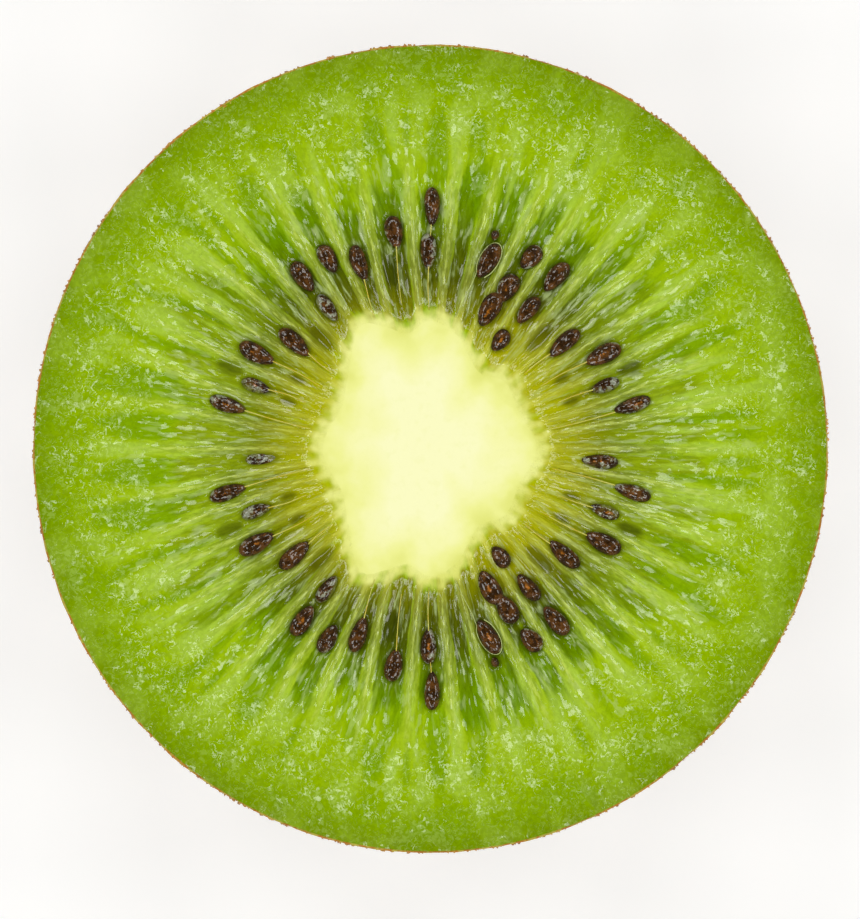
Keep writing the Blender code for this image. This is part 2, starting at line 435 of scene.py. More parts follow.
def tornBits(tree, place, size, share, slope, isFlat=False):
    # Ragged bits of tissue in a share of the cells: a mask, 1 on them, and a height in
    # metres by which each tilts its own way
    half = (0.5, 0.5, 0.5)
    drift = noiseNode(tree, place, size * 0.7, isFlat, Detail=2).outputs["Color"]
    drift = vectorCalc(tree, "SUBTRACT", drift, half)
    ragged = vectorCalc(tree, "ADD", place, vectorCalc(tree, "SCALE", drift, size * 1.2 * mm))
    cells = cellNode(tree, ragged, size, isFlat)
    chance = partsOf(tree, cells.outputs["Color"])[2]
    mask = calc(tree, "LESS_THAN", chance, share)
    away = vectorCalc(tree, "SUBTRACT", place, cells.outputs["Position"])
    heading = flatPlace(tree, vectorCalc(tree, "SUBTRACT", cells.outputs["Color"], half))
    heading = vectorCalc(tree, "NORMALIZE", heading)
    steep = calc(tree, "MULTIPLY_ADD", chance, slope * 0.5 / share, slope * 0.75)
    tilt = vectorCalc(tree, "SCALE", heading, times(tree, steep, mask))
    return mask, vectorCalc(tree, "DOT_PRODUCT", away, tilt)


# The core

core = {
    "columns": 360,
    "topRings": 44,
    "sideRings": 10,
    "overlap": 0.02,  # the pulp and the core have grown together, so no gap shows
    "crown": 0.09,
    "grainRise": 0.02,
    "grainSize": 0.6,
    "filmDepth": 0.05,
    "fibreDepth": 0.02,
    "colours": {
        "middle": (247, 247, 192),
        "ring": (243, 244, 170),
        "near": (236, 239, 144),
        "edge": (222, 226, 116),
        "vein": (226, 230, 130),
    },
    "gloss": {
        "Roughness": 0.6,
        "Specular IOR Level": 0.1,
        "Coat Weight": 0.6,
        "Coat Roughness": 0.15,
        "Coat IOR": 1.4,
    },
}
topPart, sidePart, footPart = 0, 1, 2


def buildCore():
    cut, deep = fruit["cutHeight"], fruit["coreDepth"]
    shares = np.linspace(0, 1, core["topRings"] + 1)
    profile = [(7.4 * s, cut, topPart, s) for s in shares]
    shares = np.linspace(0, 1, core["sideRings"] + 1)[1:]
    profile += [(7.4 - 5 * s, cut - 24 * s, sidePart, s) for s in shares]
    profile += [(0, cut - deep, footPart, 1)]
    piece = lathe("creamCore", profile, core["columns"])
    angle, onAxis, part, share = readPoints(piece)
    isTop = part == topPart
    narrower = fruit["jointInset"] - core["overlap"]
    top = share * (coreEdge(angle) - narrower)
    radius = np.where(isTop, top, coreRadius(angle, share * deep) - narrower)
    radius = np.where(onAxis, 0, radius)
    flat = np.column_stack([radius * np.cos(angle), radius * np.sin(angle), np.zeros_like(radius)])
    rise = core["crown"] * (1 - np.clip(share, 0, 1) ** 4)
    rise += core["grainRise"] * noiseAt(flat, core["grainSize"], 2) + cutWaves(flat)
    height = np.where(isTop, cut + rise, cut - share * deep)
    writePoints(piece, angle, radius, np.where(part == footPart, cut - deep, height))
    writeMask(piece, "coreGap", np.where(isTop, top - coreEdge(angle), 0))
    shadeSmooth(piece, 60)
    return piece


def creamColour(tree, place, coreGap):
    # The core's colour, from the gap to its edge in millimetres, negative inside
    colours = core["colours"]
    cloud = speckle(tree, place, 2.6, 3)
    fibre = speckle(tree, place, 0.5, 2)
    depth = calc(tree, "ADD", coreGap, span(tree, cloud, 0.3, 0.7, -0.8, 0.8))
    colour = colourAlong(tree, depth, (
        (-4.6, colours["middle"]),
        (-2.2, colours["ring"]),
        (-0.9, colours["near"]),
        (0.2, colours["edge"]),
    ))
    return blend(tree, span(tree, fibre, 0.5, 0.75, 0, 0.12), colour, colours["vein"])


def coreFinish():
    finish, tree, shader = newFinish("moistCream", core["gloss"])
    place = objectPlace(tree)
    colour = creamColour(tree, place, maskValue(tree, "coreGap"))
    film = speckle(tree, place, 0.5, 3, 0.55, 0.6)
    fibre = speckle(tree, place, 0.3, 3)
    feed(tree, shader.inputs["Base Color"], colour)
    feed(tree, shader.inputs["Coat Normal"], relief(tree, film, core["filmDepth"]))
    feed(tree, shader.inputs["Normal"], relief(tree, fibre, core["fibreDepth"]))
    return finish


# The cut: pulp from the core's edge out to the skin

pulp = {
    "columns": 720,
    "innerRings": 76,  # over the chambers
    "outerRings": 42,
    "innerShare": 0.52,
    "skinShows": 0.11,  # width of the skin's edge that the pulp leaves free
    "rimDrop": 0.04,
    "chamberDepth": 0.35,
    "chamberDepths": (0.75, 1.15),  # least and most, as shares of that
    "tipReach": (-1.4, 2.0),  # how much nearer or farther a chamber's tip is
    "wallRise": 0.05,
    "wallWidth": 0.22,
    "wobble": 0.55,  # degrees by which the walls waver
    "wobbleSize": 2.6,
    "streakRise": 0.07,
    "streakSizes": (0.55, 0.28),
    "grainRise": 0.045,
    "grainSizes": (0.85, 0.42),
    "seedDish": 0.16,
    "dishReach": 0.35,
    "dishTaper": 0.14,
    "ringRise": 0.07,
    "spineWidth": 0.13,
    "rayWidth": 0.05,  # half of a pale ray's width at the core
    "rayGrowth": 0.022,  # for each millimetre farther out
    "rayPull": 1.0,  # how far the mottling of the flesh follows the rays
    "longBits": (0.17, 0.62, 0.56),  # size, share of the cells that have one, and slope
    "curlBits": (0.42, 0.9, 0.46),
    "curlsFrom": 19.5,  # torn bits are long inside this distance and curled outside it
    "fibreDepth": 0.05,
    "sizes": {"fibre": 0.17, "grain": 0.3, "patch": 0.42, "cloud": 2.6, "blotch": 2.0, "fray": 0.7},
    # Where each thing starts and ends, in millimetres from the middle
    "zones": {
        "wobble": (8, 13),
        "chamberEnd": (15.5, 19.0),
        "outward": (14, 20),
        "chamberTip": (16.2, 19.4),
        "cloudy": (20.5, 24),
        "spineEnd": (16, 22),
        "sideLight": (10, 13.5),
        "wallEnd": (18.5, 24),
        "filmEnd": (15.5, 18),
        "mottleStart": (13.5, 17),
        "mottleEnd": (20.5, 24.5),
        "grainStart": (16.5, 20.5),
        "yellowEnd": (7.5, 13),
        "bitsRise": (8, 15),
        "bitsEnd": (22, 25.5),
    },
    "colours": {
        "wall": (  # pale walls, by distance from the middle
            (7, (194, 196, 60)),
            (9, (162, 166, 46)),
            (11, (128, 138, 34)),
            (13, (128, 147, 34)),
            (16, (157, 185, 36)),
            (19, (160, 191, 26)),
            (22, (152, 185, 14)),
        ),
        "well": (  # dark wet chambers
            (7, (160, 158, 0)),
            (9, (122, 126, 0)),
            (11, (82, 90, 4)),
            (13, (76, 90, 2)),
            (15, (94, 122, 0)),
            (18, (108, 144, 0)),
            (21, (132, 167, 0)),
        ),
        "flesh": (
            (15, (148, 180, 4)),
            (18, (152, 184, 8)),
            (20.5, (150, 182, 6)),
            (22.5, (142, 175, 0)),
            (24.5, (128, 161, 0)),
            (26, (116, 144, 0)),
        ),
        "deep": (104, 146, 0),
        "bright": (165, 197, 66),
        # cloudy film of juice, partly a painted sheen off it
        "film": (160, 176, 118),
        # pale bits of tissue, partly painted glints off the wet film
        "tissueAndGlint": (196, 216, 140),
        "yellow": (186, 186, 8),
        "sideWell": (148, 170, 16),
        # dark of sunk seeds, painted shade of holes and painted shadow round seeds
        "seedDarkAndShade": (40, 46, 8),
        "spine": (188, 203, 98),
    },
    "gloss": {
        "Roughness": 0.6,
        "Specular IOR Level": 0.0,
        "Coat Weight": 0.8,
        "Coat Roughness": 0.08,
        "Coat IOR": 1.45,
    },
}
cutPart, bowlPart, socketPart = 0, 1, 2


def allSeeds():
    rows = [(1, row) for row in upperSeeds]
    return rows + [(-1, row) for row in upperSeeds + lowerSeeds]


def allSunkSeedsAndHoles():
    return [(side, row) for side in (1, -1) for row in sunkSeedsAndHoles]


def seedDistance(x, y, side, angle, distance, length, width, lean=0.0):
    # Millimetres from a seed's outline, less than 0 inside it
    turn = side * math.radians(angle)
    along = turn + side * math.radians(lean)
    dx, dy = x - distance * math.cos(turn), y - distance * math.sin(turn)
    u = dx * math.cos(along) + dy * math.sin(along)
    v = -dx * math.sin(along) + dy * math.cos(along)
    v = v / (1 + pulp["dishTaper"] * np.clip(u / (length / 2), -1, 1))
    q = np.hypot(u / (length / 2), v / (width / 2))
    return (q - 1) * np.hypot(u, v) / np.maximum(q, 0.05)


def chamberPlace(angle, radius, wobble):
    # Share of the way across a chamber, 0 and 1 on its walls, the chamber's number, and
    # the distance from the nearer wall in millimetres
    here = foldedDegrees(angle) + wobble
    walls, leans = np.array(chamberWalls).T
    lines = walls[None, :] + leans[None, :] * (radius[:, None] - wallRadius)
    number = np.clip((lines <= here[:, None]).sum(1) - 1, 0, len(walls) - 2)
    rows = np.arange(len(radius))
    low, high = lines[rows, number], lines[rows, number + 1]
    share = np.clip((here - low) / (high - low), 0, 1)
    pitch = np.radians(high - low) * radius
    return share, number, np.minimum(share, 1 - share) * pitch


def ringPlaces(angle, radius, alongRay):
    # Places in which noise is drawn out along the rays
    return np.column_stack([wallRadius * np.cos(angle), wallRadius * np.sin(angle), radius * alongRay])


def pulpProfile():
    # From the foot of the core's socket up to the cut, across it, and down to the stem
    cut = fruit["cutHeight"]
    inner = np.linspace(0, pulp["innerShare"], pulp["innerRings"] + 1)
    outer = np.linspace(pulp["innerShare"], 1, pulp["outerRings"] + 1)[1:]
    up = (0.05, 0.35, 0.7, 0.93)
    down = (0.02, 0.1, 0.25, 0.45, 0.65, 0.82, 0.94)
    profile = [(0, cut - fruit["coreDepth"], socketPart, 1)]
    profile += [(3 + 4 * k, cut - 20 + 18 * k, socketPart, 1 - k) for k in up]
    profile += [(7.5 + 18 * s, cut, cutPart, s) for s in (*inner, *outer)]
    profile += [(25.4 - 20 * k, cut - 30 * k, bowlPart, k) for k in down]
    return profile + [(0, fruit["skinThickness"], bowlPart, 1)]


def pressSeeds(x, y, height):
    # A dish round each seed, rims of tissue, and how dark a point is, from the seeds under it, the
    # painted shade of small holes, and a painted shadow round each seed in its dish
    seedDarkAndShade = np.zeros_like(x)
    for side, (turn, distance, length, width, lean, proud) in allSeeds():
        gap = seedDistance(x, y, side, turn, distance, length, width, lean)
        dish = bell(np.maximum(gap, 0), pulp["dishReach"])
        height = height * (1 - 0.6 * dish) - pulp["seedDish"] * proud * dish
        height += pulp["ringRise"] * bell(gap - 0.1, 0.07) * ringedSeeds.get(turn, 0)
        # Painted shadow round each seed where it sits in its dish, with some of the seed's dark seen
        # through the thin flesh at its edge
        shade = (1 - 0.5 * proud) * smoothStep(0, 0.3, proud)  # none where flesh covers the seed
        seedDarkAndShade = np.maximum(seedDarkAndShade, shade * (1 - smoothStep(-0.25, 0.3, gap)))
    # Seeds seen dark under the flesh, and the painted shade of small holes
    for side, (turn, distance, length, width, dark) in allSunkSeedsAndHoles():
        gap = seedDistance(x, y, side, turn, distance, length, width)
        seedDarkAndShade = np.maximum(seedDarkAndShade, dark * (1 - smoothStep(-0.3, 0.35, gap)))
    return height, seedDarkAndShade


def buildPulp():
    cut, thickness = fruit["cutHeight"], fruit["skinThickness"]
    zones, sizes = pulp["zones"], pulp["sizes"]
    piece = lathe("pulp", pulpProfile(), pulp["columns"])
    angle, onAxis, part, share = readPoints(piece)
    isCut = part == cutPart
    edge, rim = coreEdge(angle), rimRadius(angle) - pulp["skinShows"]
    joint = edge - fruit["jointInset"]
    radius = joint + share * (rim - joint)
    x, y = radius * np.cos(angle), radius * np.sin(angle)
    flat = np.column_stack([x, y, np.zeros_like(x)])
    folded = np.column_stack([x, np.abs(y), np.zeros_like(x)])

    # Seed chambers, and the ridges of their walls
    wobble = pulp["wobble"] * noiseAt(folded, pulp["wobbleSize"]) * smoothStep(*zones["wobble"], radius)
    across, number, wallGap = chamberPlace(angle, radius, wobble)
    rng = random.Random(11)
    tipReach = np.array([rng.uniform(*pulp["tipReach"]) for _ in chamberWalls])[number]
    depthShare = np.array([rng.uniform(*pulp["chamberDepths"]) for _ in chamberWalls])[number]
    along = smoothStep(edge, edge + 1.3, radius)
    along = along * (1 - smoothStep(*zones["chamberEnd"], radius - tipReach * 0.6))
    height = -pulp["chamberDepth"] * np.sin(math.pi * across) * along * depthShare
    height += pulp["wallRise"] * bell(wallGap, pulp["wallWidth"]) * along

    # Streaks along the rays, and grains towards the skin
    ring = ringPlaces(angle, radius, 0.2)
    coarse, fine = pulp["streakSizes"]
    streak = noiseAt(ring, coarse) + 0.5 * noiseAt(ring, fine, 7)
    coarse, fine = pulp["grainSizes"]
    grain = noiseAt(flat, coarse, 3) + 0.6 * noiseAt(flat, fine, 5)
    outward = smoothStep(*zones["outward"], radius)
    height += pulp["streakRise"] * streak * (1 - outward) * smoothStep(edge, edge + 1.5, radius)
    height += pulp["grainRise"] * grain * (0.25 + 0.75 * outward)
    height += cutWaves(flat)
    height, seedDarkAndShade = pressSeeds(x, y, height)
    height -= pulp["rimDrop"] * smoothStep(0.985, 1.0, share)  # the rim turns over a little

    # Under the skin and round the core
    depth = share * (cut - thickness)
    bowl = skinRadius(angle, np.clip(depth, 0, cut - 0.2)) - thickness
    socketDepth = share * fruit["coreDepth"]
    socket = coreRadius(angle, socketDepth) - fruit["jointInset"]
    isBowl, isSocket = part == bowlPart, part == socketPart
    radius = np.where(isBowl, bowl, np.where(isSocket, socket, radius))
    radius = np.where(onAxis, 0, radius)
    below = np.where(isBowl, depth, np.where(isSocket, socketDepth, -height))
    writePoints(piece, angle, radius, cut - below)

    # Masks for the finish
    rayWidth = pulp["rayWidth"] + pulp["rayGrowth"] * np.maximum(radius - 7, 0)
    ray = 1 - smoothStep(rayWidth, rayWidth * 1.6 + 0.28, wallGap)
    coreGap = radius - edge - 0.3 * ray * smoothStep(-0.5, 0.3, radius - edge) * isCut
    tip = 1 - smoothStep(*zones["chamberTip"], radius - tipReach)
    cloudy = smoothStep(*zones["cloudy"], radius)
    streaky = unevenness(ringPlaces(np.abs(angle), radius, 0.13), sizes["fray"], 12)
    mottle = 0.9 * streaky * (1 - cloudy) + unevenness(folded, sizes["cloud"], 15) * cloudy
    mottle += pulp["rayPull"] * (ray - 0.45) * (1 - smoothStep(*zones["mottleEnd"], radius))
    spine = bell(wallGap, pulp["spineWidth"]) * smoothStep(edge + 0.3, edge + 2, radius)
    masks = {
        "ray": ray,
        "well": (1 - ray) * along**0.3 * tip + 0.18 * streaky,
        "coreGap": coreGap,
        "creamReach": coreGap + 0.17 * unevenness(flat, sizes["fray"], 33),
        "seedDarkAndShade": seedDarkAndShade,
        "mottle": mottle,
        "spine": spine * (1 - smoothStep(*zones["spineEnd"], radius)),
        "patchy": unevenness(flat, sizes["blotch"], 21),
    }
    for name, values in masks.items():
        writeMask(piece, name, np.where(isCut, values, 0))
    shadeSmooth(piece, 60)
    return piece


def aroundPlaces(tree, place):
    # The distance from the fruit's middle in millimetres, and coordinates in which a
    # pattern is drawn out along the rays
    flat = flatPlace(tree, place)
    distance = vectorCalc(tree, "LENGTH", flat)
    direction = vectorCalc(tree, "NORMALIZE", flat)
    ring = vectorCalc(tree, "SCALE", direction, wallRadius * mm)
    lift = tree.nodes.new("ShaderNodeCombineXYZ")
    feed(tree, lift.inputs[2], times(tree, distance, 0.22))
    return calc(tree, "DIVIDE", distance, mm), vectorCalc(tree, "ADD", ring, lift.outputs[0])


def pulpColour(tree, place, radius, fibre, grain, patch):
    colours, zones = pulp["colours"], pulp["zones"]
    direction = vectorCalc(tree, "NORMALIZE", flatPlace(tree, place))
    sideways = calc(tree, "ABSOLUTE", partsOf(tree, direction)[0])

    # Pale walls, and dark chambers that are lighter to the left and right
    wall = colourAlong(tree, radius, colours["wall"])
    well = colourAlong(tree, radius, colours["well"])
    flesh = colourAlong(tree, radius, colours["flesh"])
    lightWell = span(tree, sideways, 0.6, 0.99, 0.0, 0.75)
    lightWell = times(tree, lightWell, span(tree, radius, *zones["sideLight"], 0.3, 1.0))
    well = blend(tree, lightWell, well, colours["sideWell"])
    well = blend(tree, span(tree, maskValue(tree, "well"), 0.1, 0.8), flesh, well)
    wall = blend(tree, span(tree, radius, *zones["wallEnd"]), wall, flesh)
    fray = span(tree, fibre, 0.3, 0.7, -0.14, 0.14)
    frayed = calc(tree, "ADD", maskValue(tree, "ray"), fray)
    colour = blend(tree, span(tree, frayed, 0.1, 0.9), well, wall)

    # Patches where the film of juice in a chamber is cloudy, lightened partly as a painted sheen off
    # the wet film
    filmAndSheen = times(tree, span(tree, patch, 0.55, 0.68, 0.0, 0.6), maskValue(tree, "well"))
    filmAndSheen = times(tree, filmAndSheen, span(tree, radius, *zones["filmEnd"], 1.0, 0.25))
    colour = blend(tree, filmAndSheen, colour, colours["film"])

    # Mottling of the flesh, which follows the rays and fades towards the skin
    mottle = maskValue(tree, "mottle")
    fade = span(tree, radius, *zones["mottleEnd"], 1.0, 0.3)
    outer = times(tree, span(tree, radius, *zones["mottleStart"]), fade)
    deepness = times(tree, span(tree, mottle, -1.8, 0.2, 0.6, 0.0), outer)
    colour = blend(tree, deepness, colour, colours["deep"])
    brightness = times(tree, span(tree, mottle, 0.0, 1.5, 0.0, 0.7), outer)
    colour = blend(tree, brightness, colour, colours["bright"])
    spine = times(tree, maskValue(tree, "spine"), span(tree, fibre, 0.42, 0.6, 0.15, 0.75))
    colour = blend(tree, spine, colour, colours["spine"])
    grainShade = span(tree, grain, 0.3, 0.7, 0.9, 1.07)
    fibreShade = span(tree, fibre, 0.3, 0.7, 0.84, 1.14)
    grainy = span(tree, radius, *zones["grainStart"])
    colour = shaded(tree, colour, mixed(tree, grainy, fibreShade, grainShade))

    # More yellow to the left and right of the core, dark over sunk seeds, painted shade in small holes
    # and a painted shadow round the seeds
    nearCore = span(tree, radius, *zones["yellowEnd"], 0.6, 0.0)
    yellow = times(tree, span(tree, sideways, 0.15, 0.8), nearCore)
    colour = blend(tree, yellow, colour, colours["yellow"])
    colour = blend(tree, times(tree, maskValue(tree, "seedDarkAndShade"), 0.92), colour, colours["seedDarkAndShade"])

    # The core's cream runs out a little along the walls
    cream = creamColour(tree, place, maskValue(tree, "coreGap"))
    return blend(tree, span(tree, maskValue(tree, "creamReach"), -0.55, 0.6, 1.0, 0.0), colour, cream)


def tornTissueAndGlints(tree, place, streaks, radius, grain, patch):
    # Small bits of torn tissue, long ones along the rays and curled ones farther out: how
    # pale they make the pulp, partly their own paleness and partly painted glints off the
    # wet film, and how they tilt the wet film
    zones = pulp["zones"]
    clearOfDarkAndShade = span(tree, maskValue(tree, "seedDarkAndShade"), 0.0, 0.3, 1.0, 0.0)
    clear = times(tree, span(tree, maskValue(tree, "coreGap"), 0.2, 1.4), clearOfDarkAndShade)
    longBits, longTilt = tornBits(tree, streaks, *pulp["longBits"])
    longTilt = times(tree, longTilt, span(tree, radius, *zones["bitsRise"], 0.6, 1.0))
    curlBits, curlTilt = tornBits(tree, place, *pulp["curlBits"], isFlat=True)
    patchy = maskValue(tree, "patchy")
    worms = speckle(tree, place, 0.42, 1, 0.5, 1.2, isFlat=True)
    curl = calc(tree, "ABSOLUTE", calc(tree, "SUBTRACT", worms, 0.5))
    curl = span(tree, curl, 0.055, 0.072, 1.0, 0.0)
    broken = calc(tree, "MULTIPLY_ADD", grain, 4.0, patchy)
    curl = calc(tree, "MAXIMUM", curl, span(tree, broken, 3.4, 3.9))
    density = times(tree, span(tree, patchy, -1.0, -0.3, 0.65, 1.0), curl)
    density = times(tree, density, span(tree, radius, *zones["bitsEnd"], 1.0, 0.55))
    ragged = calc(tree, "MULTIPLY_ADD", patchy, 1.2, radius)
    isOuter = calc(tree, "GREATER_THAN", ragged, pulp["curlsFrom"])
    clear = times(tree, clear, mixed(tree, isOuter, 1.0, density))
    paleBitsAndGlints = times(tree, mixed(tree, isOuter, longBits, curlBits), clear)
    tilt = times(tree, mixed(tree, isOuter, longTilt, curlTilt), clear)
    # How pale each bit is: partly the tissue's own tone, partly a painted glint
    longPale = span(tree, patch, 0.48, 0.62, 0.0, 0.26)
    curlPale = span(tree, grain, 0.42, 0.6, 0.04, 0.22)
    return times(tree, paleBitsAndGlints, mixed(tree, isOuter, longPale, curlPale)), tilt


def pulpFinish():
    finish, tree, shader = newFinish("wetPulp", pulp["gloss"])
    place = objectPlace(tree)
    radius, streaks = aroundPlaces(tree, place)
    sizes = pulp["sizes"]
    fibre = speckle(tree, streaks, sizes["fibre"], 2, 0.6)
    grain = speckle(tree, place, sizes["grain"], 2, 0.65, 0.5, isFlat=True)
    patch = speckle(tree, streaks, sizes["patch"], 2, 0.65, 0.5)
    colour = pulpColour(tree, place, radius, fibre, grain, patch)
    paleness, tilt = tornTissueAndGlints(tree, place, streaks, radius, grain, patch)
    # Pale tissue bits, partly painted glints off the wet film
    colour = blend(tree, paleness, colour, pulp["colours"]["tissueAndGlint"])
    rough = calc(tree, "ADD", fibre, grain)
    feed(tree, shader.inputs["Base Color"], colour)
    feed(tree, shader.inputs["Coat Normal"], relief(tree, tilt, metre))
    feed(tree, shader.inputs["Normal"], relief(tree, rough, pulp["fibreDepth"]))
    return finish


# Seeds

seed = {
    "height": 0.82,
    "sunkLevel": -0.42,  # middle of a seed that hardly stands out, from the cut
    "proudLevel": -0.06,
    "taper": 0.38,
    "fullAt": 0.2,  # where it is as wide as its row says, from -1 at the inner end to 1
    "point": 0.05,  # how far the inner end is drawn out
    "bend": 0.05,
    "pitSize": 0.2,
    "pitWidth": 0.45,
    "pitDepth": 0.022,
    "markSize": (0.4, 0.25),
    "dentDepth": 0.06,
    "facets": (0.16, 0.36, 0.44),  # size, share of the cells that have one, and slope
    "flecksAndGlints": (0.26, 0.4, 0.44),
    "colours": {
        "dark": (48, 30, 12),
        "brown": (92, 58, 24),
        "spot": (128, 82, 36),
        "mark": (172, 106, 34),
        "film": (70, 76, 36),
        "veil": (124, 140, 40),
        # pale flecks of tissue, partly painted glints off the wet film
        "fleckAndGlint": (178, 188, 164),
    },
    "gloss": {
        "Roughness": 0.6,
        "Specular IOR Level": 0.0,
        "Coat Weight": 0.65,
        "Coat Roughness": 0.06,
        "Coat IOR": 1.6,
    },
}


def buildSeeds():
    form = bmesh.new()
    markLayer = form.verts.layers.float.new("mark")
    filmLayer = form.verts.layers.float.new("film")
    rng = random.Random(5)
    low, high = seed["sunkLevel"], seed["proudLevel"]
    markLong, markWide = seed["markSize"]
    for side, (turn, distance, length, width, lean, proud) in allSeeds():
        made = bmesh.ops.create_icosphere(form, subdivisions=4, radius=1)["verts"]
        turned = side * math.radians(turn)
        along = turned + side * math.radians(lean)
        level = fruit["cutHeight"] + low + proud * (high - low)
        middle = Vector((distance * math.cos(turned), distance * math.sin(turned), level))
        forward = Vector((math.cos(along), math.sin(along), 0))
        sideways = Vector((-math.sin(along), math.cos(along), 0))
        pitOffset = Vector([rng.uniform(0, 50) for _ in range(3)])
        bend = rng.uniform(-seed["bend"], seed["bend"])
        covered = 0.98 - proud
        veiledSide = rng.choice((-0.25, 0.25))
        markPlace, markStrength = rng.uniform(-0.2, 0.3), rng.uniform(0.1, 1.0)
        for point in made:
            u, v, w = point.co
            narrow = 1 + seed["taper"] * (u - seed["fullAt"]) / 2
            body = Vector((
                u * length / 2 - seed["point"] * max(0, -u - 0.8),
                v * narrow * width / 2 + bend * u * u * width,
                w * narrow * seed["height"] / 2,
            ))
            near = perlin.voronoi(body / seed["pitSize"] + pitOffset)[0]
            pit = 1 - min(1, (near[1] - near[0]) / seed["pitWidth"])
            body += Vector((u, v, w)).normalized() * seed["pitDepth"] * (pit - 0.6)
            place = middle + forward * body.x + sideways * body.y
            point.co = (place + Vector((0, 0, body.z))) * mm
            off = ((u - markPlace) / markLong) ** 2 + (v / markWide) ** 2
            point[markLayer] = markStrength * math.exp(-off)
            point[filmLayer] = covered + 0.55 * (0.6 - w) + veiledSide * v
    bmesh.ops.recalc_face_normals(form, faces=form.faces)
    piece = finishPiece("seeds", form)
    shadeSmooth(piece)
    return piece


def seedFinish():
    finish, tree, shader = newFinish("pittedSeedCoat", seed["gloss"])
    colours = seed["colours"]
    place = objectPlace(tree)
    cloud = speckle(tree, place, 0.6, 3, 0.6)
    spots = speckle(tree, place, 0.26, 3, 0.65)
    pitted = cellNode(tree, place, 0.12).outputs["Distance"]
    mark = calc(tree, "ADD", maskValue(tree, "mark"), span(tree, spots, 0.3, 0.7, -0.35, 0.35))
    colour = blend(tree, span(tree, cloud, 0.42, 0.64), colours["dark"], colours["brown"])
    colour = blend(tree, span(tree, spots, 0.58, 0.7, 0, 0.6), colour, colours["spot"])
    colour = blend(tree, span(tree, mark, 0.55, 0.9, 0, 0.8), colour, colours["mark"])
    # Painted shade in the pits, darker towards the middle of each
    colour = shaded(tree, colour, span(tree, pitted, 0.1, 0.5, 0.6, 1.1))

    # A film of juice lies over the deeper seeds, with flecks of tissue in it, painted pale partly as
    # glints off the wet film
    film = calc(tree, "ADD", maskValue(tree, "film"), span(tree, cloud, 0.35, 0.65, -0.25, 0.25))
    colour = blend(tree, span(tree, film, 0.42, 0.8, 0, 0.35), colour, colours["film"])
    colour = blend(tree, span(tree, film, 0.65, 1.1, 0, 0.55), colour, colours["veil"])
    flecksAndGlints = tornBits(tree, place, *seed["flecksAndGlints"])[0]
    fleckAndGlintShare = times(tree, span(tree, film, 0.3, 0.6, 0, 0.6), span(tree, film, 0.6, 0.85, 1.0, 0.25))
    colour = blend(tree, times(tree, fleckAndGlintShare, flecksAndGlints), colour, colours["fleckAndGlint"])

    tilt = tornBits(tree, place, *seed["facets"])[1]
    dents = calc(tree, "MULTIPLY_ADD", spots, 0.6, pitted)
    feed(tree, shader.inputs["Base Color"], colour)
    feed(tree, shader.inputs["Normal"], relief(tree, dents, seed["dentDepth"]))
    feed(tree, shader.inputs["Coat Normal"], relief(tree, tilt, metre))
    return finish


# Threads that fed the seeds, from the core outwards: places as angle and distance

thread = {
    "width": 0.09,
    "ringWidth": 0.065,
    "thinEnd": 0.55,
    "sides": 6,
    "stepsEach": 8,
    "ringGap": 0.03,
    "ringTaper": 0.12,
    "lift": 0.02,  # of its ends above the cut
    "sag": 0.1,
    "ringSag": 0.02,
    "barkDepth": 0.02,
    "colours": {"light": (200, 196, 84), "dark": (196, 174, 40), "pale": (190, 202, 124)},
    "gloss": {"Roughness": 0.35, "Coat Weight": 0.6},
}
upperThreads = (
    ((9.3, 8.0), (10.2, 10.2), (11.2, 12.2)),
    ((20.0, 8.8), (20.2, 10.0), (19.9, 11.2)),
    ((29.6, 8.2), (29.7, 9.8), (29.0, 11.6)),
    ((38.6, 7.8), (38.8, 8.8), (38.4, 9.9)),
    ((90.2, 13.6), (89.9, 14.1), (89.8, 14.6)),
    ((90.6, 9.0), (90.9, 10.4), (90.6, 11.8)),
    ((101.3, 9.6), (100.6, 11.4), (99.6, 13.3)),
    ((113.2, 9.2), (112.4, 10.4), (111.4, 11.8)),
    ((142.3, 8.0), (142.6, 9.0), (142.0, 10.1)),
    ((150.6, 8.2), (150.2, 9.8), (151.0, 11.7)),
    ((159.6, 8.6), (159.3, 9.9), (160.0, 11.2)),
    ((170.6, 7.9), (169.6, 10.0), (168.4, 12.3)),
)
# The stalk of the thin line of tissue that runs round one seed
ringStalk = ((79.3, 8.7), (77.6, 9.8), (76.2, 10.8))


def ringStops(row):
    # From the stalk up one side of a seed, over its far end and back down
    turn, distance, length, width, lean = row[:5]
    turned, along = math.radians(turn), math.radians(turn + lean)
    stops = list(ringStalk)
    for degrees in range(150, -151, -30):
        way = math.radians(degrees)
        u = (length / 2 + thread["ringGap"]) * math.cos(way)
        v = (width / 2 + thread["ringGap"]) * math.sin(way) * (1 + thread["ringTaper"] * u / length)
        x = distance * math.cos(turned) + u * math.cos(along) - v * math.sin(along)
        y = distance * math.sin(turned) + u * math.sin(along) + v * math.cos(along)
        stops.append((math.degrees(math.atan2(y, x)), math.hypot(x, y)))
    return stops


def threadPoints(side, stops, sag):
    # A smooth line through the stops, resting in the film of juice
    turns = [side * math.radians(a) for a, r in stops]
    knots = [Vector((r * math.cos(t), r * math.sin(t), 0)) for t, (a, r) in zip(turns, stops)]
    knots = [knots[0] * 2 - knots[1], *knots, knots[-1] * 2 - knots[-2]]
    points = []
    spans = len(knots) - 3
    steps = thread["stepsEach"] * spans
    for step in range(steps + 1):
        place = step / steps * spans
        k = min(int(place), spans - 1)
        t = place - k
        a, b, c, d = knots[k : k + 4]
        point = b * 2 + (c - a) * t
        point += (a * 2 - b * 5 + c * 4 - d) * t * t
        point += (b * 3 - a - c * 3 + d) * t**3
        point /= 2
        point.z = fruit["cutHeight"] + thread["lift"] - sag * math.sin(math.pi * step / steps)
        points.append(point)
    return points


